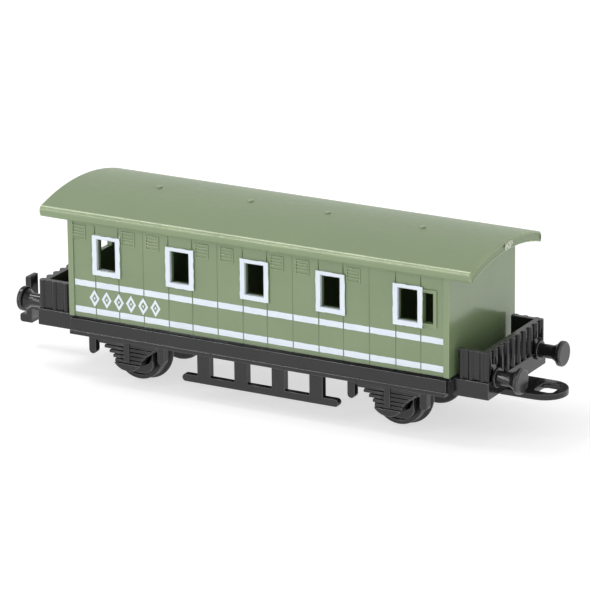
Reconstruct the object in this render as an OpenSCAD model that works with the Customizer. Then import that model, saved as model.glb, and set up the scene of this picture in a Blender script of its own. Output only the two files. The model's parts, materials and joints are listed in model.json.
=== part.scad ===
// Four-wheeled model passenger coach with open end platforms, for 16.5 mm gauge track.
// Origin: on rail level, under the middle of the saloon.
// +X points to the loop coupling, +Y to the far side, +Z up.

/* [Saloon] */
// Length of the saloon body
body_length = 100; // [98:0.5:104]
// Width of the saloon body over its boards
body_width = 32.7; // [32:0.1:33]
// Height of the body's lower edge above the rails
floor_level = 15.8; // [15.6:0.1:16.2]
// Thickness of the body's walls
wall = 1.4; // [1.2:0.1:1.8]
// Distance between window centres
window_pitch = 19.78; // [19:0.1:20]
// Size of a window opening, along the coach and up
window_opening = [5.1, 7.7]; // [4:0.1:8]
// Size of a window's raised frame, along the coach and up
window_frame = [7.57, 9.8]; // [7:0.1:10]
// Height of a window opening's lower edge above the floor level
window_sill = 12.1; // [11:0.1:12.5]

/* [Roof] */
// Length of the roof
roof_length = 113; // [108:0.5:116]
// Width of the roof over its eaves
roof_width = 36; // [34.4:0.1:36.6]
// Height of the roof's crown above the rails
roof_level = 44.6; // [44:0.1:46]
// Radius of the roof's arch
roof_radius = 58; // [54:0.5:62]
// Thickness of the roof
roof_thickness = 2.4; // [2:0.1:2.6]

/* [Underframe] */
// Distance between the two axles
wheelbase = 68.8; // [66:0.2:70]
// Length of the platform over the loop coupling
platform_length = 8.9; // [8.5:0.1:10]
// How much longer the platform over the hook is
hook_platform_extra = 1.1; // [0:0.1:1.2]
// Width of each end platform
platform_width = 29.4; // [28:0.1:30]
// Height of the railing above the platform
railing_height = 7; // [6.5:0.1:8]
// Distance between the two buffers' centre lines
buffer_spacing = 21.6; // [20:0.2:22]
// Length of a buffer from the headstock to its face
buffer_length = 6.8; // [6.5:0.1:7.5]

/* [Wheels] */
// Radius of the wheel's tread
tread_radius = 6.5; // [6.2:0.05:6.6]
// Radius of the wheel's flange
flange_radius = 7.2; // [6.9:0.05:7.3]
// Distance between the two wheels' backs
back_to_back = 14.4; // [14.3:0.1:14.6]
// Radius of the axle
axle_radius = 1; // [0.8:0.1:1.1]

/* [Couplings] */
// Thickness of a coupling's flat arm
coupling_thickness = 1.4; // [1.2:0.1:1.5]
// Distance from the saloon's end to a coupling's pivot
pivot_offset = 3.5; // [3.2:0.1:3.8]
// Distance from the saloon's middle to the loop's tip
loop_reach = 71.3; // [70:0.1:72]
// Distance from the saloon's middle to the hook's post
hook_reach = 71.7; // [70:0.1:72]

/* [Hidden] */
$fn = 64;

coach_green = [0.50, 0.57, 0.44];
frame_black = [0.08, 0.08, 0.09];
steel = [0.6, 0.6, 0.62];

// Overlap that joins a raised feature to the wall it stands on
bite = 0.3;
// Running clearance between a pin and its hole, on the radius
running_gap = 0.08;

// Saloon
half_body = body_length / 2;
half_width = body_width / 2;
arch_centre = roof_level - roof_radius;
roof_seat_gap = 0.05;
body_arch_radius = roof_radius - roof_thickness - roof_seat_gap;
pilaster_width = 1.4;
pilaster_relief = 0.35;
groove_width = 0.3;
groove_depth = 0.1;
frame_relief = 0.4;
window_board = 6.34;
window_count = 5;
narrow_window_width = 2.6;
narrow_window_height = 7.2;
narrow_window_sill = 12.2;
narrow_frame_relief = 0.3;
narrow_frame_border = 0.85;
end_window = [4.8, 7.6];
end_window_sill = 12.5;
end_window_shift = -1.5;
louvre_size = [3.6, 3.5];
louvre_base = 19;
louvre_offset = 6.6;
louvre_shift = -0.8;
louvre_border = 0.3;
louvre_relief = 0.22;
louvre_slats = 3;

// Roof
eave_radius = 1.4;
roof_shift = -0.4;
eave_height = floor_level + 23.6;
roof_clip = [4, 1.2, 3.4];
roof_nub_radius = 0.7;
roof_nub_height = 0.35;
roof_nub_xs = [-34.7, -10.2, 10.2, 34.7];

// Floor and the screws that hold the body to it
floor_thickness = 1;
floor_width = 32;
body_screw_x = half_body - 5;
body_screw_radius = 1;
body_boss_radius = 2.6;
body_boss_height = 6.2;
screw_head_height = 1;
screw_slot = [0.5, 0.4];
body_screw_head = 1.9;
screw_tip_gap = 2;

// Solebars
solebar_thickness = 1.35;
solebar_top = floor_level - 0.4;
solebar_bottom = floor_level - 4.3;
solebar_half_length = half_body - 0.5;
solebar_outer = floor_width / 2 + solebar_thickness;
solebar_lip_height = 1;
solebar_lip_relief = 0.3;

// Platforms and railings
platform_top = floor_level - 0.4;
platform_bottom = floor_level - 4.45;
loop_platform_end = half_body + platform_length;
hook_platform_end = loop_platform_end + hook_platform_extra;
deck_thickness = 1.6;
skirt = 1.3;
railing_thickness = 1.3;
end_rib_relief = 0.8;
side_rib_relief = 0.45;
rib_radius = 0.85;
end_rib_count = 10;
end_rib_pitch = 2.95;
// Distance from the platform's outer face to the middle of each rib on the railing's sides
loop_side_ribs = [1.9, 4.8, 7.2];
hook_side_ribs = [0.9, 4.2, 7.4];
side_ledge = 0.35;
railing_gap = 0.9;
railing_corner = 0.6;
buffer_level = floor_level;
buffer_recess_radius = 3;

// Buffers
buffer_shank_radius = 1.65;
buffer_head_radius = 3;
buffer_head_thickness = 1.3;
buffer_flare = 1.6;
buffer_head_step = 0.4;
buffer_chamfer = 0.3;
buffer_collar_radius = 2.3;
buffer_collar_thickness = 0.7;

// Axle guards, measured from the coach's centre line and from the axle
axle_x = wheelbase / 2;
guard_plate_inner = 12.2;
guard_plate_outer = 13.6;
guard_face = 17;
guard_plate_half = 5;
guard_plate_bottom = 3.2;
guard_plate_corner = 2.4;
guard_slot = [0.9, 2.6];
guard_slot_offset = 3.7;
hanger_offset = 9.3;
hanger_width = 1.9;
hanger_depth = 1.8;
hanger_bottom = 7.3;
spring_leaves = 5;
spring_top = 10.9;
spring_pitch = 1;
leaf_height = 0.76;
longest_leaf = 7.9;
shortest_leaf = 3.45;
buckle_width = 1.5;
axlebox_bottom = 4.35;
axlebox_top = 6.05;
axlebox_radius = 4.4;
axle_half_length = 14.9;
bearing_depth = 15.2;

// Step boards
step_half_length = 20.6;
step_bar_bottom = 4.45;
step_bar_height = 1.8;
step_post_pitch = 9.87;
step_post_width = 3.5;
step_shift = 1.2;
step_inner = 15.3;

// Wheels; the flanges stand on the ground, so they set the axles' height
axle_level = flange_radius;
wheel_back = back_to_back / 2;
flange_width = 0.8;
flange_round = 0.25;
flange_root = 0.15;
tread_taper = 0.1;
web_draft = 0.2;
wheel_width = 4.1;
hub_radius = 1.9;
hub_relief = 0.4;
web_recess = 0.7;
web_outer_radius = 5.4;

// Couplings
arm_top = platform_bottom - 0.1;
arm_bottom = arm_top - coupling_thickness;
pivot_x = half_body + pivot_offset;
pivot_pin_radius = 1.1;
pivot_eye_radius = 3.1;
pivot_boss_radius = 2.6;
pivot_pin_top = platform_top - 0.6;
pivot_head_radius = 2.2;
stop_lug_low = [1.6, 3];
stop_lug_high = [2.5, 4];
loop_width = 11;
loop_eye = [4.6, 6];
loop_eye_corner = 1;
loop_tip_wall = 2.3;
loop_shoulder_x = pivot_x + 3.5;
arm_width = 4.4;
hook_post = [1.6, 3.4];
hook_post_top = 18;
hook_post_bottom = 6.2;
hook_toe_length = 1.8;
hook_toe_height = 2.2;
hook_corner = 0.7;

// Everything is drawn at the loop end on the far side, and mirrored from there
module at_end(end_name) {
    if (end_name == "hook") mirror([1, 0, 0]) children();
    else children();
}

module at_side(side_name) {
    if (side_name == "near") mirror([0, 1, 0]) children();
    else children();
}

// A block given by its lowest and highest corners
module block(low, high) {
    translate(low) cube(high - low);
}

// Turns an outline drawn in Y and Z into a bar along X, centred on X = 0
module along_x(length) {
    translate([-length / 2, 0, 0])
        rotate([90, 0, 90]) linear_extrude(length) children();
}

// Turns an outline drawn in X and Z into a plate between two Y values
module plate_xz(y_low, y_high) {
    translate([0, y_high, 0]) rotate([90, 0, 0]) linear_extrude(y_high - y_low) children();
}

module rounded_rect(size, corner) {
    for (sx = [-1, 1], sy = [-1, 1])
        translate([sx * (size[0] / 2 - corner), sy * (size[1] / 2 - corner)]) circle(corner);
    square([size[0] - 2 * corner, size[1]], center = true);
    square([size[0], size[1] - 2 * corner], center = true);
}

// ---- Saloon body ----

function window_x(i) = (i - (window_count - 1) / 2) * window_pitch;

// Louvres flank each window, except at the end that has the narrow window
function louvre_xs() = concat(
    [for (i = [0 : window_count - 2], s = [-1, 1]) window_x(i) + louvre_shift + s * louvre_offset]);

module body_walls() {
    difference() {
        along_x(body_length) intersection() {
            translate([-half_width, floor_level]) square([body_width, roof_level - floor_level]);
            translate([0, arch_centre]) circle(body_arch_radius);
        }
        block([-half_body + wall, -half_width + wall, floor_level - 1],
              [half_body - wall, half_width - wall, roof_level]);
    }
}

// Grooves between the upright boards, cut into the far side
module board_grooves() {
    edges = concat(
        [for (i = [0 : window_count - 1], s = [-1, 1]) window_x(i) + s * window_board / 2],
        [for (i = [0 : window_count - 2]) window_x(i) + window_pitch / 2]);
    for (x = edges)
        block([x - groove_width / 2, half_width - groove_depth, floor_level - 1],
              [x + groove_width / 2, half_width + 1, roof_level]);
}

module corner_pilasters() {
    top = arch_centre + sqrt(pow(body_arch_radius, 2) - pow(half_width + pilaster_relief, 2));
    for (s = [-1, 1])
        block([s * (half_body - pilaster_width / 2) - pilaster_width / 2, half_width - bite, floor_level],
              [s * (half_body - pilaster_width / 2) + pilaster_width / 2, half_width + pilaster_relief, top]);
}

module window_frame_at(x) {
    sill = floor_level + window_sill;
    middle = sill + window_opening[1] / 2 - 0.15;
    block([x - window_frame[0] / 2, half_width - bite, middle - window_frame[1] / 2],
          [x + window_frame[0] / 2, half_width + frame_relief, middle + window_frame[1] / 2]);
}

module window_hole_at(x) {
    sill = floor_level + window_sill;
    block([x - window_opening[0] / 2, half_width - wall - 1, sill],
          [x + window_opening[0] / 2, half_width + 1, sill + window_opening[1]]);
}

// The narrow window beside the last one, with a plain frame
function narrow_window_x() = window_x(window_count - 1) + window_frame[0] / 2;

module narrow_window_frame() {
    x = narrow_window_x();
    sill = floor_level + narrow_window_sill;
    block([x - bite, half_width - bite, sill - narrow_frame_border],
          [x + narrow_window_width + narrow_frame_border, half_width + narrow_frame_relief,
           sill + narrow_window_height + narrow_frame_border]);
}

module narrow_window_hole() {
    x = narrow_window_x();
    sill = floor_level + narrow_window_sill;
    block([x, half_width - wall - 1, sill],
          [x + narrow_window_width, half_width + 1, sill + narrow_window_height]);
}

module louvre_at(x) {
    base = floor_level + louvre_base;
    face = half_width + louvre_relief;
    inner = louvre_size - 2 * [louvre_border, louvre_border];
    slat_pitch = inner[1] / (louvre_slats + 1);
    difference() {
        block([x - louvre_size[0] / 2, half_width - bite, base],
              [x + louvre_size[0] / 2, face, base + louvre_size[1]]);
        block([x - inner[0] / 2, half_width, base + louvre_border],
              [x + inner[0] / 2, face + 1, base + louvre_border + inner[1]]);
    }
    for (i = [1 : louvre_slats])
        block([x - inner[0] / 2 - 0.1, half_width - bite, base + louvre_border + i * slat_pitch - 0.15],
              [x + inner[0] / 2 + 0.1, face - 0.04, base + louvre_border + i * slat_pitch + 0.15]);
}

// All that is raised on one side wall
module side_relief() {
    corner_pilasters();
    for (i = [0 : window_count - 1]) window_frame_at(window_x(i));
    narrow_window_frame();
    for (x = louvre_xs()) louvre_at(x);
}

module side_openings() {
    for (i = [0 : window_count - 1]) window_hole_at(window_x(i));
    narrow_window_hole();
}

// The window in the end wall over the hook; the wall over the loop is plain
module end_window_hole() {
    sill = floor_level + end_window_sill;
    block([-half_body - 1, end_window_shift - end_window[0] / 2, sill],
          [-half_body + wall + 1, end_window_shift + end_window[0] / 2, sill + end_window[1]]);
}

// A boss inside each end wall, which a screw through the floor grips
module body_boss() {
    top = floor_level + body_boss_height;
    translate([body_screw_x, 0, floor_level]) cylinder(r = body_boss_radius, h = body_boss_height);
    block([body_screw_x, -0.8, floor_level], [half_body - wall + bite, 0.8, top]);
}

// The far side is the near side turned half round, so that each shows the same face
module body_shell() {
    color(coach_green) difference() {
        union() {
            difference() {
                body_walls();
                for (turn = [0, 180]) rotate(turn) mirror([0, 1, 0]) board_grooves();
            }
            for (turn = [0, 180]) rotate(turn) mirror([0, 1, 0]) side_relief();
            for (end_name = ["loop", "hook"]) at_end(end_name) body_boss();
        }
        for (turn = [0, 180]) rotate(turn) mirror([0, 1, 0]) side_openings();
        end_window_hole();
        for (s = [-1, 1])
            translate([s * body_screw_x, 0, floor_level - 1])
                cylinder(r = body_screw_radius, h = body_boss_height);
    }
}

// ---- Roof ----

module roof_section() {
    eave_y = roof_width / 2 - eave_radius;
    eave_z = arch_centre + sqrt(pow(roof_radius - eave_radius, 2) - pow(eave_y, 2));
    tangent_y = eave_y * roof_radius / (roof_radius - eave_radius);
    difference() {
        union() {
            intersection() {
                translate([0, arch_centre]) circle(roof_radius);
                translate([-tangent_y, eave_z]) square([2 * tangent_y, roof_radius]);
            }
            for (s = [-1, 1]) translate([s * eave_y, eave_z]) circle(eave_radius);
            translate([-roof_width / 2, eave_height]) square([roof_width, eave_z - eave_height]);
        }
        translate([0, arch_centre]) circle(roof_radius - roof_thickness);
    }
}

// Small clips under the roof, which locate it between the side walls
module roof_clips() {
    clip_y = half_width - wall - roof_clip[1] / 2 - 0.1;
    clip_top = arch_centre + sqrt(pow(roof_radius - roof_thickness, 2) - pow(clip_y, 2)) + bite;
    for (sx = [-1, 1], sy = [-1, 1])
        translate([sx * window_pitch * 1.5, sy * clip_y, clip_top - roof_clip[2] / 2])
            cube(roof_clip, center = true);
}

module roof() {
    color(coach_green) {
        translate([roof_shift, 0, 0]) along_x(roof_length) roof_section();
        roof_clips();
        for (x = roof_nub_xs)
            translate([x, 0, roof_level - bite]) cylinder(r = roof_nub_radius, h = bite + roof_nub_height);
    }
}

// ---- Floor, solebars and screws ----

module floor_plate() {
    color(frame_black) difference() {
        block([-half_body, -floor_width / 2, floor_level - floor_thickness],
              [half_body, floor_width / 2, floor_level]);
        for (s = [-1, 1])
            translate([s * body_screw_x, 0, floor_level - floor_thickness - 1])
                cylinder(r = body_screw_radius + running_gap, h = floor_thickness + 2);
    }
}

// A slotted screw standing up from the underside of what it holds
module slotted_screw(head_radius, shank_radius, shank_length) {
    difference() {
        translate([0, 0, -screw_head_height]) cylinder(r = head_radius, h = screw_head_height);
        translate([0, 0, -screw_head_height])
            cube([2 * head_radius + 1, screw_slot[0], 2 * screw_slot[1]], center = true);
    }
    translate([0, 0, -bite]) cylinder(r = shank_radius, h = shank_length + bite);
}

module body_screws() {
    shank_length = floor_thickness + body_boss_height - screw_tip_gap;
    color(steel) for (s = [-1, 1])
        translate([s * body_screw_x, 0, floor_level - floor_thickness])
            slotted_screw(body_screw_head, body_screw_radius, shank_length);
}

module solebar() {
    inner = floor_width / 2;
    half = solebar_half_length;
    color(frame_black) {
        block([-half, inner, solebar_bottom], [half, solebar_outer, solebar_top]);
        block([-half, inner + bite, solebar_bottom],
              [half, solebar_outer + solebar_lip_relief, solebar_bottom + solebar_lip_height]);
    }
}

// ---- End platforms, railings and buffers ----

// reach is the distance from the saloon's middle to the platform's outer face
module platform(reach) {
    half = platform_width / 2;
    deck_bottom = platform_top - deck_thickness;
    color(frame_black) difference() {
        union() {
            difference() {
                block([half_body, -half, platform_bottom], [reach, half, platform_top]);
                block([half_body - 1, -half + skirt, platform_bottom - 1],
                      [reach - skirt, half - skirt, deck_bottom]);
            }
            translate([pivot_x, 0, platform_bottom])
                cylinder(r = pivot_boss_radius, h = deck_bottom - platform_bottom + bite);
            // Lugs on both sides of the coupling's arm, which limit its swing
            for (s = [-1, 1]) translate([pivot_x, s * (stop_lug_low[1] + stop_lug_high[1]) / 2, 0])
                block([stop_lug_low[0], -(stop_lug_high[1] - stop_lug_low[1]) / 2, arm_bottom],
                      [stop_lug_high[0], (stop_lug_high[1] - stop_lug_low[1]) / 2, deck_bottom + bite]);
        }
        translate([pivot_x, 0, platform_bottom - 1])
            cylinder(r = pivot_pin_radius, h = pivot_pin_top - platform_bottom + 1);
    }
}

// One upright half-round rib, from the platform to the top of the railing
module rib_at(x, y) {
    translate([x, y, platform_top]) cylinder(r = rib_radius, h = railing_height);
}

module end_ribs(reach) {
    for (i = [0 : end_rib_count - 1])
        rib_at(reach - rib_radius, (i - (end_rib_count - 1) / 2) * end_rib_pitch);
}

module side_ribs(reach, places) {
    for (place = places, s = [-1, 1])
        rib_at(reach - place, s * (platform_width / 2 - side_ledge - rib_radius));
}

// A wall round three sides of the platform, with ribs on its outside
module railing(reach, side_rib_places) {
    half = platform_width / 2 - side_ledge - side_rib_relief;
    face = reach - end_rib_relief;
    start = half_body + railing_gap;
    top = platform_top + railing_height;
    corner = railing_corner;
    color(frame_black) difference() {
        union() {
            block([start, -half, platform_top], [face - corner, half, top]);
            block([start, -half + corner, platform_top], [face, half - corner, top]);
            for (s = [-1, 1])
                translate([face - corner, s * (half - corner), platform_top])
                    cylinder(r = corner, h = railing_height);
            end_ribs(reach);
            side_ribs(reach, side_rib_places);
        }
        block([half_body, -half + railing_thickness, platform_top - 1],
              [face - railing_thickness, half - railing_thickness, top + 1]);
        for (s = [-1, 1])
            translate([face, s * buffer_spacing / 2, buffer_level])
                rotate([0, 90, 0]) cylinder(r = buffer_recess_radius, h = 5);
    }
}

module buffer(reach) {
    head_x = buffer_length - buffer_head_thickness;
    color(frame_black) translate([reach, buffer_spacing / 2, buffer_level])
        rotate([0, 90, 0]) rotate_extrude() polygon([
            [0, 0],
            [buffer_collar_radius, 0],
            [buffer_collar_radius, buffer_collar_thickness],
            [buffer_shank_radius, buffer_collar_thickness],
            [buffer_shank_radius, head_x - buffer_flare],
            [buffer_head_radius - buffer_head_step, head_x],
            [buffer_head_radius, head_x],
            [buffer_head_radius, buffer_length - buffer_chamfer],
            [buffer_head_radius - buffer_chamfer, buffer_length],
            [0, buffer_length],
        ]);
}

// ---- Axle guards ----

// The leaves shorten quickly at first, counted from the top one
function leaf_half_length(i) =
    shortest_leaf + (longest_leaf - shortest_leaf) * pow(1 - i / (spring_leaves - 1), 1.6);

// The right-hand edge of the web behind the leaves, from the top down
function web_edge() = concat(
    [for (i = [0 : spring_leaves - 1]) [leaf_half_length(i) - 0.5, spring_top - i * spring_pitch]],
    [[shortest_leaf - 0.5, axlebox_top - 0.2]]);

module spring_pack() {
    for (i = [0 : spring_leaves - 1]) {
        top = spring_top - i * spring_pitch;
        half = leaf_half_length(i);
        block([-half, guard_plate_outer - bite, top - leaf_height], [half, guard_face - 0.4, top]);
    }
    // The web behind the leaves, which shows as the dark lines between them
    plate_xz(guard_plate_outer - bite, guard_face - 0.8)
        for (m = [0, 1]) mirror([m, 0])
            polygon(concat([[0, axlebox_top - 0.2], [0, spring_top]], web_edge()));
    block([-buckle_width / 2, guard_plate_outer, axlebox_top + 0.4],
          [buckle_width / 2, guard_face + 0.1, solebar_bottom]);
}

module hanger_posts() {
    for (s = [-1, 1]) translate([s * hanger_offset, 0, 0]) {
        block([-hanger_width / 2, guard_face - hanger_depth, hanger_bottom + hanger_width / 2],
              [hanger_width / 2, guard_face, solebar_bottom]);
        translate([0, guard_face, hanger_bottom + hanger_width / 2])
            rotate([90, 0, 0]) cylinder(r = hanger_width / 2, h = hanger_depth);
    }
}

module axlebox() {
    intersection() {
        translate([0, guard_face, axlebox_bottom + axlebox_radius])
            rotate([90, 0, 0]) cylinder(r = axlebox_radius, h = guard_face - guard_plate_outer + bite);
        block([-10, 0, 0], [10, guard_face + 1, axlebox_top]);
    }
}

// The upright plate behind the spring, which carries the axle's bearing
module guard_plate() {
    half = guard_plate_half;
    corner = guard_plate_corner;
    bottom = guard_plate_bottom;
    difference() {
        plate_xz(guard_plate_inner, guard_plate_outer) {
            polygon([
                [-half, bottom + corner],
                [-half + corner, bottom],
                [half - corner, bottom],
                [half, bottom + corner],
                [half, solebar_bottom],
                [-half, solebar_bottom],
            ]);
            for (s = [-1, 1]) translate([s * (half - corner), bottom + corner]) circle(corner);
        }
        for (s = [-1, 1])
            translate([s * guard_slot_offset, guard_plate_outer + 1, axle_level])
                rotate([90, 0, 0]) linear_extrude(3) rounded_rect(guard_slot, guard_slot[0] / 2 - 0.01);
    }
}

module axle_guard() {
    mount_half = hanger_offset + hanger_width / 2;
    color(frame_black) translate([axle_x, 0, 0]) difference() {
        union() {
            block([-mount_half, guard_plate_inner, solebar_bottom],
                  [mount_half, floor_width / 2, floor_level - floor_thickness]);
            block([-mount_half, guard_plate_inner, spring_top - 0.1],
                  [mount_half, guard_face - 0.2, solebar_bottom]);
            guard_plate();
            spring_pack();
            hanger_posts();
            axlebox();
        }
        translate([0, bearing_depth, axle_level])
            rotate([90, 0, 0]) cylinder(r = axle_radius + running_gap, h = 5);
    }
}

// ---- Step boards ----

module step_board() {
    bar_middle = step_bar_bottom + step_bar_height / 2;
    bar_half = step_half_length - step_bar_height / 2;
    color(frame_black) translate([-step_shift, 0, 0]) {
        block([-bar_half, step_inner, step_bar_bottom],
              [bar_half, guard_face, step_bar_bottom + step_bar_height]);
        for (s = [-1, 1])
            translate([s * bar_half, guard_face, bar_middle])
                rotate([90, 0, 0]) cylinder(r = step_bar_height / 2, h = guard_face - step_inner);
        for (i = [-1.5 : 1.5]) translate([i * step_post_pitch, 0, 0]) {
            block([-step_post_width / 2, step_inner, bar_middle],
                  [step_post_width / 2, guard_face, solebar_bottom]);
            block([-step_post_width / 2, step_inner, solebar_bottom - bite],
                  [step_post_width / 2, floor_width / 2, floor_level - floor_thickness]);
        }
    }
}

// ---- Wheelsets ----

module axle() {
    color(steel) translate([axle_x, axle_half_length, axle_level])
        rotate([90, 0, 0]) cylinder(r = axle_radius, h = 2 * axle_half_length);
}

// A wheel's outline from its back, at Z = 0, to its outer face
module wheel() {
    color(frame_black) translate([axle_x, wheel_back, axle_level])
        rotate([-90, 0, 0]) rotate_extrude() polygon([
            [axle_radius, 0],
            [flange_radius - flange_round, 0],
            [flange_radius, flange_round],
            [flange_radius, flange_width - flange_round],
            [tread_radius + flange_root, flange_width],
            [tread_radius, flange_width + flange_root],
            [tread_radius - tread_taper, wheel_width],
            [web_outer_radius, wheel_width],
            [web_outer_radius - web_draft, wheel_width - web_recess],
            [hub_radius + web_draft, wheel_width - web_recess],
            [hub_radius, wheel_width + hub_relief],
            [axle_radius, wheel_width + hub_relief],
        ]);
}

// ---- Couplings ----

module coupling_screw() {
    head_top = arm_bottom - running_gap;
    color(steel) translate([pivot_x, 0, head_top])
        slotted_screw(pivot_head_radius, pivot_pin_radius, pivot_pin_top - head_top);
}

module pivot_eye_hole() {
    translate([pivot_x, 0, arm_bottom - 1])
        cylinder(r = pivot_pin_radius + running_gap, h = coupling_thickness + 2);
}

module coupling_loop() {
    round_x = loop_reach - loop_width / 2;
    eye_x = loop_reach - loop_tip_wall - loop_eye[0] / 2;
    color(frame_black) difference() {
        translate([0, 0, arm_bottom]) linear_extrude(coupling_thickness) {
            translate([pivot_x, 0]) circle(pivot_eye_radius);
            translate([pivot_x, -arm_width / 2]) square([round_x - pivot_x, arm_width]);
            translate([loop_shoulder_x, -loop_width / 2]) square([round_x - loop_shoulder_x, loop_width]);
            translate([round_x, 0]) circle(loop_width / 2);
        }
        translate([eye_x, 0, arm_bottom - 1])
            linear_extrude(coupling_thickness + 2) rounded_rect(loop_eye, loop_eye_corner);
        pivot_eye_hole();
    }
}

// The hook's outline seen from the side: an upright post with a toe at its foot
module hook_side() {
    outer = hook_reach;
    inner = hook_reach - hook_post[0];
    toe_tip = hook_post[0] + hook_toe_length;
    c = hook_corner;
    translate([inner, hook_post_bottom]) square([hook_post[0], hook_post_top - hook_post_bottom - c]);
    translate([inner, hook_post_top - c - 0.1]) square([hook_post[0] - c, c + 0.1]);
    translate([outer - c, hook_post_top - c]) circle(c);
    translate([inner, hook_post_bottom]) square([toe_tip - c, hook_toe_height]);
    translate([inner, hook_post_bottom + c]) square([toe_tip, hook_toe_height - 2 * c]);
    for (z = [c, hook_toe_height - c])
        translate([outer + hook_toe_length - c, hook_post_bottom + z]) circle(c);
}

module coupling_hook() {
    color(frame_black) difference() {
        union() {
            translate([0, 0, arm_bottom]) linear_extrude(coupling_thickness) {
                translate([pivot_x, 0]) circle(pivot_eye_radius);
                translate([pivot_x, -arm_width / 2])
                    square([hook_reach - hook_post[0] - pivot_x - 1, arm_width]);
                translate([pivot_x, -hook_post[1] / 2]) square([hook_reach - 0.5 - pivot_x, hook_post[1]]);
            }
            plate_xz(-hook_post[1] / 2, hook_post[1] / 2) hook_side();
        }
        pivot_eye_hole();
    }
}

// ---- Assembly ----

body_shell();
roof();
floor_plate();
body_screws();
at_side("near") solebar();  // solebar_near
at_side("far") solebar();  // solebar_far
at_end("loop") platform(loop_platform_end);  // platform_loop_end
at_end("hook") platform(hook_platform_end);  // platform_hook_end
at_end("loop") railing(loop_platform_end, loop_side_ribs);  // railing_loop_end
at_end("hook") railing(hook_platform_end, hook_side_ribs);  // railing_hook_end
at_end("loop") at_side("near") buffer(loop_platform_end);  // buffer_loop_near
at_end("loop") at_side("far") buffer(loop_platform_end);  // buffer_loop_far
at_end("hook") at_side("near") buffer(hook_platform_end);  // buffer_hook_near
at_end("hook") at_side("far") buffer(hook_platform_end);  // buffer_hook_far
at_end("loop") at_side("near") axle_guard();  // axle_guard_loop_near
at_end("loop") at_side("far") axle_guard();  // axle_guard_loop_far
at_end("hook") at_side("near") axle_guard();  // axle_guard_hook_near
at_end("hook") at_side("far") axle_guard();  // axle_guard_hook_far
rotate(180) step_board();  // step_board_near
step_board();  // step_board_far
at_end("loop") axle();  // axle_loop_end
at_end("hook") axle();  // axle_hook_end
at_end("loop") at_side("near") wheel();  // wheel_loop_near
at_end("loop") at_side("far") wheel();  // wheel_loop_far
at_end("hook") at_side("near") wheel();  // wheel_hook_near
at_end("hook") at_side("far") wheel();  // wheel_hook_far
coupling_loop();
at_end("hook") coupling_hook();
at_end("loop") coupling_screw();  // coupling_screw_loop
at_end("hook") coupling_screw();  // coupling_screw_hook
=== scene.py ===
"""Looks of a four-wheeled model passenger coach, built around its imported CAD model.

+X points to the loop coupling, +Y to the far side and +Z up from the rails.
Sizes in this file are in millimetres, and meshes are scaled to metres when they are made.
Only the floor, the lights and the camera's clipping are given in metres.
"""

import json
import math
import random

import bmesh
import bpy
from mathutils import Matrix, Vector


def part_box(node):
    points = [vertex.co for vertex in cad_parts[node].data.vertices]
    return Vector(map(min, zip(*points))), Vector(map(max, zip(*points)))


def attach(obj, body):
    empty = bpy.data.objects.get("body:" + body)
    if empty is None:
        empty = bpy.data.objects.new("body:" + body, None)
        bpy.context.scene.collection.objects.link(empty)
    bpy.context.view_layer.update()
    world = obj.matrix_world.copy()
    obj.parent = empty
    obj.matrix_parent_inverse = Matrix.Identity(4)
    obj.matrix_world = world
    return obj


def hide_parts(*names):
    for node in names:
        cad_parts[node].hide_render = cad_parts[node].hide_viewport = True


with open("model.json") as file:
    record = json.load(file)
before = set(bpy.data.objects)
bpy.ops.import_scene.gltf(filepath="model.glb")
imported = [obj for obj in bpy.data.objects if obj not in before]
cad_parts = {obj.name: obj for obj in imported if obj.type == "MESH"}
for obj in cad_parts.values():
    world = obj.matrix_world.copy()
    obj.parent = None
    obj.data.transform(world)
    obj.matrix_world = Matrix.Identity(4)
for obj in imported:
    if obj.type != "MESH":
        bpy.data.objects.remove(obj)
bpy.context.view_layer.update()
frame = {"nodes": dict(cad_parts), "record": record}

MM = 0.001

# ---- Camera ----

CAMERA_AZIMUTH = 29.14
CAMERA_ELEVATION = 18.0745
CAMERA_ROLL = -0.605
CAMERA_DISTANCE = 1049.13
CAMERA_AIM = Vector((-0.048, 2.507, 22.580))
CAMERA_LENS = 275.1
SENSOR_WIDTH = 36


def add_camera():
    """A long lens turned round the coach by the azimuth, raised by the elevation and rolled."""
    azimuth = math.radians(CAMERA_AZIMUTH)
    elevation = math.radians(CAMERA_ELEVATION)
    roll = math.radians(CAMERA_ROLL)
    flat = math.cos(elevation)
    back = Vector((math.sin(azimuth) * flat, -math.cos(azimuth) * flat, math.sin(elevation)))
    level = Vector((math.cos(azimuth), math.sin(azimuth), 0))
    upright = back.cross(level)
    right = level * math.cos(roll) + upright * math.sin(roll)
    up = back.cross(right)
    data = bpy.data.cameras.new("camera")
    data.lens = CAMERA_LENS
    data.sensor_width = SENSOR_WIDTH
    data.clip_start = 0.05
    data.clip_end = 20
    camera = bpy.data.objects.new("camera", data)
    camera.matrix_world = Matrix.Translation((CAMERA_AIM + back * CAMERA_DISTANCE) * MM) @ Matrix(
        (right, up, back)
    ).transposed().to_4x4()
    bpy.context.scene.collection.objects.link(camera)
    bpy.context.scene.camera = camera


add_camera()


# ---- Materials ----

# Nearly all of a noise texture's values lie between these two
NOISE_LOW = 0.3
NOISE_HIGH = 0.7


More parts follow.
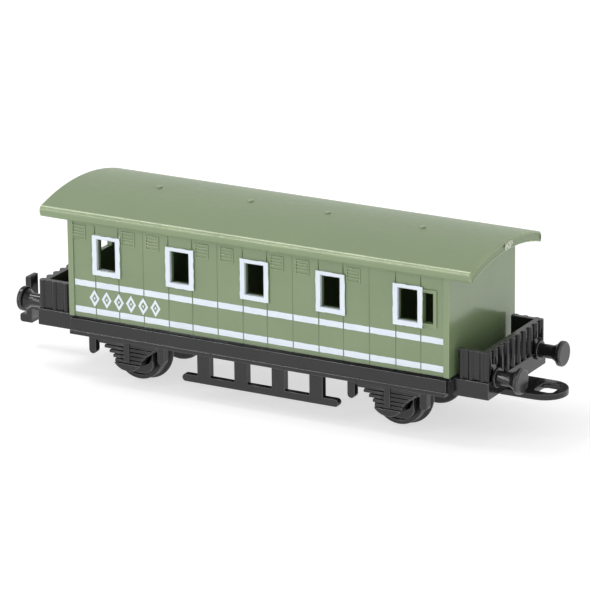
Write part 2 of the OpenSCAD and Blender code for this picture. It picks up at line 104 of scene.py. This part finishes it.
class Finish:
    """A node material in the making: one Principled shader and what feeds it."""

    def __init__(self, name):
        self.material = bpy.data.materials.new(name)
        self.material.use_nodes = True
        self.nodes = self.material.node_tree.nodes
        self.links = self.material.node_tree.links
        self.shader = self.nodes["Principled BSDF"]
        self.place = self.nodes.new("ShaderNodeTexCoord").outputs["Object"]

    def noise(self, size, detail=3.0, roughness=0.55, stretch=(1, 1, 1)):
        """Cloudy noise from 0 to 1 whose patches are about size millimetres across."""
        mapping = self.nodes.new("ShaderNodeMapping")
        mapping.inputs["Scale"].default_value = stretch
        self.links.new(self.place, mapping.inputs["Vector"])
        texture = self.nodes.new("ShaderNodeTexNoise")
        texture.inputs["Scale"].default_value = 1 / (size * MM)
        texture.inputs["Detail"].default_value = detail
        texture.inputs["Roughness"].default_value = roughness
        self.links.new(mapping.outputs["Vector"], texture.inputs["Vector"])
        return texture.outputs["Fac"]

    def ramp(self, factor, low, high):
        """factor stretched so that low becomes 0 and high becomes 1."""
        node = self.nodes.new("ShaderNodeMapRange")
        node.inputs["From Min"].default_value = low
        node.inputs["From Max"].default_value = high
        self.links.new(factor, node.inputs["Value"])
        return node.outputs["Result"]

    def scaled(self, factor, amount):
        """factor times amount."""
        node = self.nodes.new("ShaderNodeMath")
        node.operation = "MULTIPLY"
        node.inputs[1].default_value = amount
        self.links.new(factor, node.inputs[0])
        return node.outputs["Value"]

    def mix(self, factor, first, second):
        """A colour that goes from first to second as factor goes from 0 to 1."""
        node = self.nodes.new("ShaderNodeMix")
        node.data_type = "RGBA"
        self.links.new(factor, node.inputs["Factor"])
        for socket, colour in (("A", first), ("B", second)):
            target = next(i for i in node.inputs if i.name == socket and i.type == "RGBA")
            if isinstance(colour, tuple):
                target.default_value = (*colour, 1)
            else:
                self.links.new(colour, target)
        return next(o for o in node.outputs if o.type == "RGBA")

    def colour(self, value):
        """The surface's colour."""
        self.links.new(value, self.shader.inputs["Base Color"])

    def roughness(self, factor, low, high):
        """Roughness that wanders between low and high with factor."""
        node = self.nodes.new("ShaderNodeMapRange")
        node.inputs["From Min"].default_value = NOISE_LOW
        node.inputs["From Max"].default_value = NOISE_HIGH
        node.inputs["To Min"].default_value = low
        node.inputs["To Max"].default_value = high
        self.links.new(factor, node.inputs["Value"])
        self.links.new(node.outputs["Result"], self.shader.inputs["Roughness"])

    def bump(self, heights):
        """Surface relief from pairs of height factor and depth in millimetres."""
        normal = None
        for factor, depth in heights:
            node = self.nodes.new("ShaderNodeBump")
            node.inputs["Strength"].default_value = 1
            node.inputs["Distance"].default_value = depth * MM
            self.links.new(factor, node.inputs["Height"])
            if normal is not None:
                self.links.new(normal, node.inputs["Normal"])
            normal = node.outputs["Normal"]
        self.links.new(normal, self.shader.inputs["Normal"])

    def constant(self, **values):
        """Sets sockets of the shader by name, with underscores for spaces."""
        for name, value in values.items():
            self.shader.inputs[name.replace("_", " ")].default_value = value
        return self


def moulded_plastic(name, deep, pale, rub_and_sheen, rub_and_sheen_share, gloss, index):
    """Dyed plastic from a mould: cloudy dye, fine grain, uneven gloss and rubbed patches.

    The rub colour is that of a rubbed place, and the rub share how much of the surface has it; on the edge
    finishes they also paint a highlight where edges catch the light.
    gloss is the lowest and highest roughness.
    """
    finish = Finish(name)
    cloud = finish.noise(14, 4)
    mottle = finish.noise(1.6, 3)
    grain = finish.noise(0.35, 2)
    scuff_and_sheen = finish.noise(2.4, 5, 0.7, (1, 1, 2.5))
    dye = finish.mix(finish.ramp(cloud, NOISE_LOW, NOISE_HIGH), deep, pale)
    dye = finish.mix(finish.scaled(finish.ramp(mottle, 0.35, 0.7), 0.25), dye, pale)
    # Rubbed patches, which on the edge finishes are also a painted highlight
    worn_and_lit = finish.ramp(scuff_and_sheen, 0.72 - rub_and_sheen_share * 0.5, 0.86 - rub_and_sheen_share * 0.5)
    finish.colour(finish.mix(worn_and_lit, dye, rub_and_sheen))
    finish.roughness(mottle, *gloss)
    finish.bump([(cloud, 0.06), (grain, 0.0016)])
    return finish.constant(IOR=index, Specular_IOR_Level=0.5).material


def white_paint(name):
    """Pad-printed paint: slightly blue white, thin in places, with a faint orange-peel skin."""
    finish = Finish(name)
    thin = finish.noise(0.7, 4, 0.65)
    patch = finish.noise(5, 3)
    spread = finish.ramp(patch, NOISE_LOW, NOISE_HIGH)
    paint = finish.mix(spread, (0.77, 0.83, 0.91), (0.71, 0.78, 0.86))
    see_through = finish.scaled(finish.ramp(thin, 0.58, 0.8), 0.35)
    finish.colour(finish.mix(see_through, paint, (0.52, 0.60, 0.50)))
    finish.roughness(thin, 0.32, 0.5)
    finish.bump([(thin, 0.012), (patch, 0.02)])
    return finish.constant(IOR=1.48).material


def torn_plastic(name):
    """Green plastic gone whitish where it was broken off its sprue."""
    finish = Finish(name)
    fibre = finish.noise(0.5, 4, 0.7, (1, 2.5, 1))
    finish.colour(finish.mix(finish.ramp(fibre, 0.42, 0.6), (0.27, 0.34, 0.20), (0.85, 0.87, 0.76)))
    finish.roughness(fibre, 0.55, 0.8)
    finish.bump([(fibre, 0.05)])
    return finish.constant(IOR=1.5).material


def turned_steel(name):
    """Bright steel with fine turning marks and dull patches."""
    finish = Finish(name)
    rings = finish.noise(0.25, 2, 0.5, (1, 6, 1))
    tarnish = finish.noise(1.8, 4)
    finish.colour(finish.mix(finish.ramp(tarnish, 0.35, 0.75), (0.62, 0.62, 0.63), (0.36, 0.35, 0.34)))
    finish.roughness(tarnish, 0.2, 0.42)
    finish.bump([(rings, 0.004)])
    return finish.constant(Metallic=1.0).material


def pale_floor(name):
    """Matt studio board, lit from within so that shadows stay faint, with the faintest mottle."""
    finish = Finish(name)
    patch = finish.noise(90, 3)
    finish.colour(finish.mix(patch, (0.50, 0.50, 0.50), (0.54, 0.54, 0.54)))
    finish.roughness(patch, 0.75, 0.9)
    finish.shader.inputs["Emission Color"].default_value = (1, 1, 1, 1)
    return finish.constant(Emission_Strength=0.62).material


GREEN_DEEP = (0.182, 0.250, 0.128)
GREEN_PALE = (0.206, 0.276, 0.148)
GREEN_RAISED = (0.216, 0.290, 0.150)
# Pale green of rubbed patches, also used as the painted highlight on edges
GREEN_RUB_AND_SHEEN = (0.330, 0.405, 0.215)
BLACK_DEEP = (0.0105, 0.0105, 0.0112)
BLACK_PALE = (0.0160, 0.0160, 0.0168)
# Pale grey of rubbed patches, also used as the painted highlight on black edges
BLACK_RUB_AND_SHEEN = (0.105, 0.106, 0.112)

GREEN = moulded_plastic("green_plastic", GREEN_DEEP, GREEN_PALE, GREEN_RUB_AND_SHEEN, 0.0, (0.13, 0.20), 1.62)
# Paler edge finish: a painted highlight on rounded edges, with rubbed patches
GREEN_EDGE_HIGHLIGHT = moulded_plastic("green_edge_highlight", GREEN_RAISED, GREEN_RUB_AND_SHEEN, GREEN_RUB_AND_SHEEN, 0.35, (0.2, 0.3), 1.62)
GREEN_FACE = moulded_plastic("green_relief", GREEN_PALE, GREEN_RAISED, GREEN_RUB_AND_SHEEN, 0.2, (0.16, 0.26), 1.62)
ROOF_GREEN = moulded_plastic("roof_plastic", GREEN_PALE, GREEN_RAISED, GREEN_RUB_AND_SHEEN, 0.0, (0.34, 0.42), 1.62)
BLACK = moulded_plastic("black_plastic", BLACK_DEEP, BLACK_PALE, BLACK_RUB_AND_SHEEN, 0.0, (0.12, 0.2), 1.48)
# Paler edge finish for black parts: a painted highlight on rounded edges, with rubbed patches
BLACK_EDGE_HIGHLIGHT = moulded_plastic("black_edge_highlight", BLACK_PALE, BLACK_RUB_AND_SHEEN, BLACK_RUB_AND_SHEEN, 0.3, (0.12, 0.22), 1.5)
WHEEL_BLACK = moulded_plastic("wheel_plastic", BLACK_DEEP, BLACK_PALE, BLACK_RUB_AND_SHEEN, 0.1, (0.24, 0.4), 1.46)
PAINT = white_paint("white_paint")
STEEL = turned_steel("turned_steel")
TORN = torn_plastic("torn_plastic")


# ---- Meshes ----

# Turns of the surface at an edge, in degrees: where shading breaks, and where a mould rounds it
SHARP_TURN = 50
ROUNDED_TURN = 28
BEVEL_SEGMENTS = 2
# Corners of the CAD mesh this close, in millimetres, are one corner
SAME_POINT = 0.002
# Faces that turn less than this, in degrees, are one flat face
FLAT_TURN = 0.4


def add_piece(name, shape, materials, body, replaced=()):
    """Turns a bmesh in metres into a named piece that rides on body."""
    mesh = bpy.data.meshes.new(name)
    bmesh.ops.recalc_face_normals(shape, faces=shape.faces)
    shape.to_mesh(mesh)
    shape.free()
    for material in materials:
        mesh.materials.append(material)
    piece = bpy.data.objects.new(name, mesh)
    bpy.context.scene.collection.objects.link(piece)
    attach(piece, body)
    if replaced:
        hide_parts(*replaced)
    return piece


def shade(piece):
    """Smooth shading that keeps flat faces flat and breaks at sharp edges."""
    mesh = piece.data
    mesh.polygons.foreach_set("use_smooth", [True] * len(mesh.polygons))
    mesh.set_sharp_from_angle(angle=math.radians(SHARP_TURN))
    shading = piece.modifiers.new("flat_faces_stay_flat", "WEIGHTED_NORMAL")
    shading.keep_sharp = True


def body_of(node):
    """The name of the body that a CAD node belongs to."""
    bodies = frame["record"]["behaviour"]["bodies"]
    return next(body for body, members in bodies.items() if node in members)


def cad_shape(node):
    """A CAD node's surface with its flat faces whole again, ready to be worked on."""
    shape = bmesh.new()
    shape.from_mesh(frame["nodes"][node].data)
    bmesh.ops.remove_doubles(shape, verts=shape.verts, dist=SAME_POINT * MM)
    bmesh.ops.dissolve_limit(
        shape, angle_limit=math.radians(FLAT_TURN), verts=shape.verts, edges=shape.edges
    )
    for face in shape.faces:
        face.material_index = 0
    bmesh.ops.recalc_face_normals(shape, faces=shape.faces)
    return shape


def stands_out(edge):
    """True where the surface turns outward at edge enough for a mould to round it."""
    return edge.is_manifold and edge.calc_face_angle_signed(0) > math.radians(ROUNDED_TURN)


def join_rings(shape, rings):
    """A closed skin over rings of equally many corners, with a flat face at each end."""
    for ring, after in zip(rings, rings[1:]):
        for i in range(len(ring)):
            j = (i + 1) % len(ring)
            shape.faces.new((ring[i], ring[j], after[j], after[i]))
    shape.faces.new(rings[0][::-1])
    shape.faces.new(rings[-1])


def soften(node, width, finish, face_material=None):
    """A CAD node whose outer edges are rounded, as they leave a mould.

    width is in millimetres: one number, or a function of an edge's ends in millimetres.
    A rounded edge takes the second material of finish, a paler finish that paints a highlight along it.
    face_material gives the place of any other face's material in finish, from its normal and its middle in
    millimetres.
    """
    shape = cad_shape(node)
    if face_material:
        for face in shape.faces:
            face.material_index = face_material(face.normal, face.calc_center_median() / MM)
    weight = shape.edges.layers.float.new("bevel_weight_edge")
    widths = {}
    for edge in shape.edges:
        if stands_out(edge):
            ends = [vertex.co / MM for vertex in edge.verts]
            widths[edge.index] = width(*ends) if callable(width) else width
    widest = max(widths.values())
    for edge in shape.edges:
        edge[weight] = widths.get(edge.index, 0) / widest
    piece = add_piece(node + "_skin", shape, finish, body_of(node), [node])
    bevel = piece.modifiers.new("rounded_edges", "BEVEL")
    bevel.limit_method = "WEIGHT"
    bevel.width = widest * MM
    bevel.segments = BEVEL_SEGMENTS
    bevel.use_clamp_overlap = False
    # Rounded faces take the paler edge finish, a painted highlight
    bevel.material = 1
    depsgraph = bpy.context.evaluated_depsgraph_get()
    piece.data = bpy.data.meshes.new_from_object(piece.evaluated_get(depsgraph))
    piece.modifiers.clear()
    shade(piece)


# ---- Rounded CAD nodes ----

# The second finish of each is the paler edge finish, a painted highlight on rounded edges
BODY_FINISH = (GREEN, GREEN_EDGE_HIGHLIGHT, GREEN_FACE)
BLACK_FINISH = (BLACK, BLACK_EDGE_HIGHLIGHT)
WHEEL_FINISH = (WHEEL_BLACK, BLACK_EDGE_HIGHLIGHT)
ENDS = {"loop": 1, "hook": -1}
SIDES = {"near": -1, "far": 1}

ROOF_LOW, ROOF_HIGH = (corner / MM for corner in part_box("roof"))
BODY_LOW, BODY_HIGH = (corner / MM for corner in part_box("body_shell"))

# The window frames stand out the furthest from the side walls
FRAME_RELIEF = 0.4
WALL_FACE = BODY_HIGH.y - FRAME_RELIEF
CORNER_POST = 2
# An upright edge longer than this, on a wall and away from the corners, is a groove's
GROOVE_EDGE = 3
BODY_ROUNDING = 0.1
# Two places this close count as the same
NEARLY = 0.01


def body_edge_width(one, two):
    """The grooves between the boards keep sharp edges; the rest of the body is rounded."""
    upright = abs(one.z - two.z) > GROOVE_EDGE and abs(one.x - two.x) < NEARLY
    on_wall = abs(abs(one.y) - WALL_FACE) < NEARLY
    beside_groove = upright and on_wall and abs(one.x) < BODY_HIGH.x - CORNER_POST
    return 0 if beside_groove else BODY_ROUNDING


def body_relief(normal, middle):
    """Whatever stands out from the side walls is a little paler than they are."""
    stands_proud = abs(normal.y) > 0.9 and abs(middle.y) > WALL_FACE + 0.1
    return BODY_FINISH.index(GREEN_FACE) if stands_proud else 0


soften("body_shell", body_edge_width, BODY_FINISH, body_relief)
soften("floor_plate", 0.15, BLACK_FINISH)
for side in SIDES:
    soften("solebar_" + side, 0.1, BLACK_FINISH)
    soften("step_board_" + side, 0.12, BLACK_FINISH)
for end in ENDS:
    soften(f"platform_{end}_end", 0.16, BLACK_FINISH)
    soften(f"railing_{end}_end", 0.14, BLACK_FINISH)
    soften("coupling_" + end, 0.2, BLACK_FINISH)
    for side in SIDES:
        soften(f"axle_guard_{end}_{side}", 0.11, BLACK_FINISH)
        soften(f"buffer_{end}_{side}", 0.18, BLACK_FINISH)
        soften(f"wheel_{end}_{side}", 0.12, WHEEL_FINISH)

for node in ("axle_loop_end", "axle_hook_end", "body_screws", "coupling_screw_loop", "coupling_screw_hook"):
    data = frame["nodes"][node].data
    data.materials.clear()
    data.materials.append(STEEL)


# ---- Roof ----

ROOF_RADIUS = 58
ROOF_THICKNESS = 2.4
NUB_HEIGHT = 0.35
# A nub's outline: its radius, and how far below its top
NUB_PROFILE = ((0.7, NUB_HEIGHT + 0.3), (0.7, 0.14), (0.62, 0.04), (0.5, 0))
NUB_STEPS = 20
NUB_XS = (-34.7, -10.2, 10.2, 34.7)
ROOF_CENTRE = ROOF_HIGH.z - NUB_HEIGHT - ROOF_RADIUS
EAVE_BOTTOM = BODY_LOW.z + 23.6
EAVE_RADIUS = 1.4
EAVE_CORNER = 1.0
EAVE_STEPS = 12
CORNER_STEPS = 6
# The faces along an eave that take the paler edge finish as a painted highlight, counted from its lower
# edge
HIGHLIT_EAVE = range(CORNER_STEPS + EAVE_STEPS // 3, CORNER_STEPS + EAVE_STEPS)
RIM_RADIUS = 0.45
INNER_RIM_RADIUS = RIM_RADIUS / 3
RIM_STEPS = 5
# The rim's end face: how far down each line lies, as a share, and how deep it is sunk
RIM_GROOVE = ((0.06, 0.0), (0.16, 0.28), (0.42, 0.3), (0.62, 0.12), (0.86, 0.1), (0.9, 0.0))
# The lugs under the roof: the size of each, and the middle of one, which the others mirror
CLIP_SIZE = (4, 1.2, 3.4)
CLIP_PLACE = (29.67, 14.25, 38.94)
CLIP_BEVEL = 0.15
CROWN_STEPS = 12
# How far round an eave's lower corner reaches below the level, in degrees
CORNER_TURN = 58
GATE_MARK_PLACE = Vector((ROOF_HIGH.x, 0.9, ROOF_HIGH.z - NUB_HEIGHT - 1.3))
GATE_MARK_HALF = (2.2, 1.1)
GATE_MARK_STEPS = 18
# The rings of the torn stub, from its rim to its middle: share of its size, and height
GATE_MARK_RINGS = ((1, -0.15), (1, 0.03), (0.72, 0.16), (0.4, 0.12))
# Lowest and highest share by which each of its points strays
RAGGED_REACH = (0.75, 1.05)
RAGGED_RISE = (0.6, 1.3)


def arc(centre, radius, start, end, steps):
    """(y, z, normal y, normal z) of points along an arc between two angles in degrees."""
    points = []
    for i in range(steps + 1):
        angle = math.radians(start + (end - start) * i / steps)
        out = (math.cos(angle), math.sin(angle))
        points.append((centre[0] + radius * out[0], centre[1] + radius * out[1], *out))
    return points


def roof_section():
    """The roof's outer and inner lines, point for point, from one eave over to the other."""
    half = ROOF_HIGH.y
    eave_y = half - EAVE_RADIUS
    top_angle = math.degrees(math.acos(eave_y / (ROOF_RADIUS - EAVE_RADIUS)))
    eave_z = ROOF_CENTRE + (ROOF_RADIUS - EAVE_RADIUS) * math.sin(math.radians(top_angle))
    corner_centre = (half - EAVE_CORNER, EAVE_BOTTOM + EAVE_CORNER)
    corner = arc(corner_centre, EAVE_CORNER, -CORNER_TURN, 0, CORNER_STEPS)
    eave = arc((eave_y, eave_z), EAVE_RADIUS, 0, top_angle, EAVE_STEPS)
    crown = arc((0, ROOF_CENTRE), ROOF_RADIUS, top_angle, 90, CROWN_STEPS)[1:]
    outer = corner + eave + crown
    inner_radius = ROOF_RADIUS - ROOF_THICKNESS
    low_angle = math.degrees(math.asin((EAVE_BOTTOM - ROOF_CENTRE) / inner_radius))
    beside_eave = arc((0, ROOF_CENTRE), inner_radius, low_angle, top_angle, len(corner + eave) - 1)
    under_crown = arc((0, ROOF_CENTRE), inner_radius, top_angle, 90, CROWN_STEPS)[1:]
    inner = [(y, z, -ny, -nz) for y, z, ny, nz in beside_eave + under_crown]
    return [
        line + [(-y, z, -ny, nz) for y, z, ny, nz in line[-2::-1]] for line in (outer, inner)
    ]


def add_rim_face(shape, ring, inward):
    """The end face inside a rim: a shallow groove under the top edge, and a lip at the bottom."""
    count = len(ring) // 2
    upper, lower = ring[:count], ring[:count - 1:-1]
    lines = [upper]
    for share, depth in RIM_GROOVE:
        line = []
        for top, bottom in zip(upper, lower):
            place = top.co.lerp(bottom.co, share)
            place.x += inward * depth * MM
            line.append(shape.verts.new(place))
        lines.append(line)
    lines.append(lower)
    # The bottom band of the end face takes the paler edge finish, a painted highlight line
    highlight_band = len(lines) - 2
    for number, (line, following) in enumerate(zip(lines, lines[1:])):
        for i in range(count - 1):
            face = shape.faces.new((line[i], line[i + 1], following[i + 1], following[i]))
            face.material_index = 1 if number == highlight_band else 0
    for end in (0, -1):
        shape.faces.new([line[end] for line in lines])


def add_roof_arch(shape):
    """The arch, lofted from one rounded rim to the other."""
    outer, inner = roof_section()
    turns = [math.pi / 2 * i / RIM_STEPS for i in range(RIM_STEPS + 1)]
    rim = [(RIM_RADIUS * (1 - math.cos(turn)), 1 - math.sin(turn)) for turn in turns]
    stations = [(ROOF_LOW.x + inward, inset) for inward, inset in rim]
    stations += [(ROOF_HIGH.x - inward, inset) for inward, inset in rim[::-1]]
    rings = []
    for x, inset in stations:
        ring = []
        for line, radius in ((outer, RIM_RADIUS), (inner[::-1], INNER_RIM_RADIUS)):
            for y, z, ny, nz in line:
                place = Vector((x, y - ny * radius * inset, z - nz * radius * inset))
                ring.append(shape.verts.new(place * MM))
        rings.append(ring)
    for number, (ring, after) in enumerate(zip(rings, rings[1:])):
        for i in range(len(ring)):
            j = (i + 1) % len(ring)
            face = shape.faces.new((ring[i], ring[j], after[j], after[i]))
            # Rim roundings and the upper eave take the paler edge finish, a painted highlight
            worn_and_lit = i in HIGHLIT_EAVE or len(outer) - 2 - i in HIGHLIT_EAVE
            face.material_index = 0 if number == RIM_STEPS and not worn_and_lit else 1
    for ring, inward in ((rings[0], 1), (rings[-1], -1)):
        add_rim_face(shape, ring, inward)


def add_nub(shape, x):
    """A small round pip on the crown, left by the mould."""
    angles = [math.tau * i / NUB_STEPS for i in range(NUB_STEPS)]
    rings = []
    for radius, drop in NUB_PROFILE:
        z = ROOF_HIGH.z - drop
        ring = [Vector((x + radius * math.cos(a), radius * math.sin(a), z)) * MM for a in angles]
        rings.append([shape.verts.new(place) for place in ring])
    join_rings(shape, rings)
    # The top of each nub takes the paler edge finish, a painted highlight
    for vertex in rings[-1]:
        for face in vertex.link_faces:
            face.material_index = 1


def add_clips(shape):
    """Four bevelled lugs under the roof that hold it between the side walls."""
    for sx in (-1, 1):
        for sy in (-1, 1):
            place = Vector((sx * CLIP_PLACE[0], sy * CLIP_PLACE[1], CLIP_PLACE[2])) * MM
            size = Matrix.Diagonal((*[side * MM for side in CLIP_SIZE], 1))
            made = bmesh.ops.create_cube(shape, size=1, matrix=Matrix.Translation(place) @ size)
            edges = {edge for vertex in made["verts"] for edge in vertex.link_edges}
            bmesh.ops.bevel(
                shape, geom=list(edges), offset=CLIP_BEVEL * MM, segments=BEVEL_SEGMENTS, affect="EDGES"
            )


def add_roof():
    """The whole roof: its arch, and what stands on it and under it."""
    shape = bmesh.new()
    add_roof_arch(shape)
    for x in NUB_XS:
        add_nub(shape, x)
    add_clips(shape)
    # The second finish paints a highlight on the rims, the upper eaves, the nub tops and the rims' bottom
    # bands
    finish = (ROOF_GREEN, GREEN_EDGE_HIGHLIGHT)
    shade(add_piece("roof_skin", shape, finish, body_of("roof"), ["roof"]))


def add_gate_mark():
    """The torn stub of the sprue on the rim over the loop: a ragged low mound."""
    dice = random.Random(5)
    shape = bmesh.new()
    rings = []
    for share, rise in GATE_MARK_RINGS:
        ring = []
        for i in range(GATE_MARK_STEPS):
            angle = math.tau * i / GATE_MARK_STEPS
            reach = share * dice.uniform(*RAGGED_REACH)
            place = Vector((
                rise * dice.uniform(*RAGGED_RISE),
                GATE_MARK_HALF[0] * reach * math.cos(angle),
                GATE_MARK_HALF[1] * reach * math.sin(angle),
            ))
            ring.append(shape.verts.new((GATE_MARK_PLACE + place) * MM))
        rings.append(ring)
    join_rings(shape, rings)
    bmesh.ops.triangulate(shape, faces=shape.faces)
    add_piece("roof_gate_mark", shape, [TORN], body_of("roof"))


add_roof()
add_gate_mark()


# ---- Printed paint ----

# Windows and boards on the near side, which the far side repeats turned half round
WINDOW_PITCH = 19.78
WINDOW_XS = [(i - 2) * WINDOW_PITCH for i in range(5)]
WINDOW_OPENING = (5.1, 7.7)
WINDOW_FRAME = (7.57, 9.8)
WINDOW_MIDDLE = BODY_LOW.z + 15.8
OPENING_RAISE = 0.15
# A groove lies this far to each side of a window's middle
BOARD_HALF = 3.17
GROOVE_WIDTH = 0.3
STRIPE_END = 48.55
# Lower and upper edge of each stripe, above the body's foot
STRIPES = ((7.67, 9.12), (1.12, 2.58))
# How far paint stands out of the wall, reaches into it, and runs into an opening
PRINT_THICKNESS = 0.03
PRINT_BITE = 0.04
LINING_DEPTH = 0.75
# How much larger a painted edge is than the frame or the opening that it follows
OUTER_GROWTH = -0.1
INNER_GROWTH = 0.06
BURIED_GROWTH = 0.1
LINING_GROWTH = -0.08
# How far a painted edge strays
OUTER_WOBBLE = 0.09
INNER_WOBBLE = 0.03
LINING_WOBBLE = 0.02
STRIPE_WOBBLE = 0.04
FRAME_STEPS = 8


def add_ribbon(shape, rail_a, rail_b, face, closed, depth=PRINT_BITE):
    """Paint between two rails of (x, z) points, lying on a wall face at Y = -face.

    depth is how far it reaches into the wall.
    """
    front = -face - PRINT_THICKNESS
    back = -face + depth
    rows = []
    for (xa, za), (xb, zb) in zip(rail_a, rail_b):
        corners = ((xa, front, za), (xb, front, zb), (xb, back, zb), (xa, back, za))
        rows.append([shape.verts.new(Vector(corner) * MM) for corner in corners])
    following = rows[1:] + rows[:1] if closed else rows[1:]
    for row, after in zip(rows, following):
        for i in range(4):
            j = (i + 1) % 4
            shape.faces.new((row[i], row[j], after[j], after[i]))
    if not closed:
        shape.faces.new(rows[0])
        shape.faces.new(rows[-1][::-1])


def shaky(points, amount, dice):
    """The same points, each moved a little, as the edge of a print is."""
    return [(x + dice.uniform(-amount, amount), z + dice.uniform(-amount, amount)) for x, z in points]


def rectangle(centre, size, steps):
    """Points round a rectangle, steps to a side."""
    corners = [
        (centre[0] + sx * size[0] / 2, centre[1] + sz * size[1] / 2)
        for sx, sz in ((-1, -1), (1, -1), (1, 1), (-1, 1))
    ]
    points = []
    for (x0, z0), (x1, z1) in zip(corners, corners[1:] + corners[:1]):
        points += [(x0 + (x1 - x0) * i / steps, z0 + (z1 - z0) * i / steps) for i in range(steps)]
    return points


def grown(size, growth):
    """A width and a height, each larger by growth."""
    return [side + growth for side in size]


def print_window_frames(shape, dice):
    """White frames, whose paint also runs a little way into the openings."""
    for x in WINDOW_XS:
        middle = (x, WINDOW_MIDDLE)
        hole_middle = (x, WINDOW_MIDDLE + OPENING_RAISE)
        outer = shaky(rectangle(middle, grown(WINDOW_FRAME, OUTER_GROWTH), FRAME_STEPS), OUTER_WOBBLE, dice)
        inner = rectangle(hole_middle, grown(WINDOW_OPENING, INNER_GROWTH), FRAME_STEPS)
        add_ribbon(shape, outer, shaky(inner, INNER_WOBBLE, dice), BODY_HIGH.y, True)
        buried = rectangle(hole_middle, grown(WINDOW_OPENING, BURIED_GROWTH), FRAME_STEPS)
        lining = rectangle(hole_middle, grown(WINDOW_OPENING, LINING_GROWTH), FRAME_STEPS)
        add_ribbon(shape, buried, shaky(lining, LINING_WOBBLE, dice), BODY_HIGH.y, True, LINING_DEPTH)


def board_spans():
    """The (start, end) of each stretch of wall between two grooves, up to the corner posts."""
    grooves = [x + s * BOARD_HALF for x in WINDOW_XS for s in (-1, 1)]
    grooves += [x + WINDOW_PITCH / 2 for x in WINDOW_XS[:-1]]
    edges = [-STRIPE_END, *sorted(grooves), STRIPE_END]
    gap = GROOVE_WIDTH / 2
    return [(a + gap, b - gap) for a, b in zip(edges, edges[1:])]


def print_stripes(shape, dice):
    """Two white lines along the side, broken at each groove."""
    for low, high in STRIPES:
        for start, end in board_spans():
            count = max(3, round(end - start))
            xs = [start + (end - start) * i / count for i in range(count + 1)]
            upper = [(x, BODY_LOW.z + high + dice.uniform(-STRIPE_WOBBLE, STRIPE_WOBBLE)) for x in xs]
            lower = [(x, BODY_LOW.z + low + dice.uniform(-STRIPE_WOBBLE, STRIPE_WOBBLE)) for x in xs]
            add_ribbon(shape, upper, lower, WALL_FACE, False)


ORNAMENT_START = -43.15
ORNAMENT_PITCH = 3.3
ORNAMENT_COUNT = 6
ORNAMENT_MIDDLE = 5.0
ORNAMENT_WOBBLE = 0.04
# Half the width and half the height: of a lozenge, of its hole, of the full one within, of its point
LOZENGE = (1.35, 2.1)
LOZENGE_HOLE = (0.68, 1.12)
LOZENGE_HEART = (0.26, 0.42)
LOZENGE_POINT = (0.02, 0.02)


def lozenge(centre, half_width, half_height, steps=4):
    """Points round a lozenge, steps to a side."""
    tips = [(-half_width, 0), (0, -half_height), (half_width, 0), (0, half_height)]
    points = []
    for (x0, z0), (x1, z1) in zip(tips, tips[1:] + tips[:1]):
        for i in range(steps):
            share = i / steps
            points.append((centre[0] + x0 + (x1 - x0) * share, centre[1] + z0 + (z1 - z0) * share))
    return points


def print_ornament(shape, dice):
    """A row of open lozenges, each with a small full one in its middle."""
    for i in range(ORNAMENT_COUNT):
        centre = (ORNAMENT_START + i * ORNAMENT_PITCH, BODY_LOW.z + ORNAMENT_MIDDLE)
        rails = [shaky(lozenge(centre, *size), ORNAMENT_WOBBLE, dice) for size in (LOZENGE, LOZENGE_HOLE)]
        add_ribbon(shape, *rails, WALL_FACE, True)
        heart = (lozenge(centre, *LOZENGE_HEART), lozenge(centre, *LOZENGE_POINT))
        add_ribbon(shape, *heart, WALL_FACE, True)


def add_print(name, draw, seed):
    """One printed layer on each side; the far one is the near one turned half round."""
    for side, sign in SIDES.items():
        shape = bmesh.new()
        draw(shape, random.Random(seed + sign))
        if side == "far":
            bmesh.ops.rotate(
                shape, verts=shape.verts, cent=(0, 0, 0), matrix=Matrix.Rotation(math.pi, 3, "Z")
            )
        shade(add_piece(f"{name}_{side}", shape, [PAINT], "coach"))


add_print("window_frame_paint", print_window_frames, 11)
add_print("stripe_paint", print_stripes, 23)
add_print("ornament_paint", print_ornament, 37)


# ---- Floor and light ----

FLOOR_REACH = 4
LIGHT_AIM = Vector((0, 0, 0.02))


def add_floor():
    """A wide flat board under the wheels."""
    shape = bmesh.new()
    bmesh.ops.create_grid(shape, x_segments=4, y_segments=4, size=FLOOR_REACH)
    mesh = bpy.data.meshes.new("floor")
    shape.to_mesh(mesh)
    shape.free()
    mesh.materials.append(pale_floor("floor_board"))
    floor = bpy.data.objects.new("floor", mesh)
    bpy.context.scene.collection.objects.link(floor)


def add_softbox(name, place, size, power):
    """A flat light at place that faces the coach; size is its width and height, power is in watts."""
    data = bpy.data.lights.new(name, "AREA")
    data.shape = "RECTANGLE"
    data.size, data.size_y = size
    data.energy = power
    light = bpy.data.objects.new(name, data)
    light.location = place
    light.rotation_mode = "QUATERNION"
    light.rotation_quaternion = (LIGHT_AIM - Vector(place)).to_track_quat("-Z", "Y")
    bpy.context.scene.collection.objects.link(light)


def add_world(horizon, zenith):
    """Pale surroundings, brighter near the horizon than overhead."""
    world = bpy.data.worlds.new("studio")
    world.use_nodes = True
    bpy.context.scene.world = world
    nodes, links = world.node_tree.nodes, world.node_tree.links
    split = nodes.new("ShaderNodeSeparateXYZ")
    links.new(nodes.new("ShaderNodeTexCoord").outputs["Generated"], split.inputs["Vector"])
    height = nodes.new("ShaderNodeMapRange")
    height.inputs["To Min"].default_value = horizon
    height.inputs["To Max"].default_value = zenith
    links.new(split.outputs["Z"], height.inputs["Value"])
    background = nodes["Background"]
    background.inputs["Color"].default_value = (1, 1, 1, 1)
    links.new(height.outputs["Result"], background.inputs["Strength"])


add_floor()
add_world(horizon=0.85, zenith=0.52)
add_softbox("softbox_overhead", place=(-0.556, -0.05, 1.061), size=(0.4, 0.45), power=4.2)
add_softbox("softbox_front", place=(-0.556, -0.923, 0.522), size=(0.06, 1.2), power=3.2)
bpy.context.scene.view_settings.view_transform = "Standard"
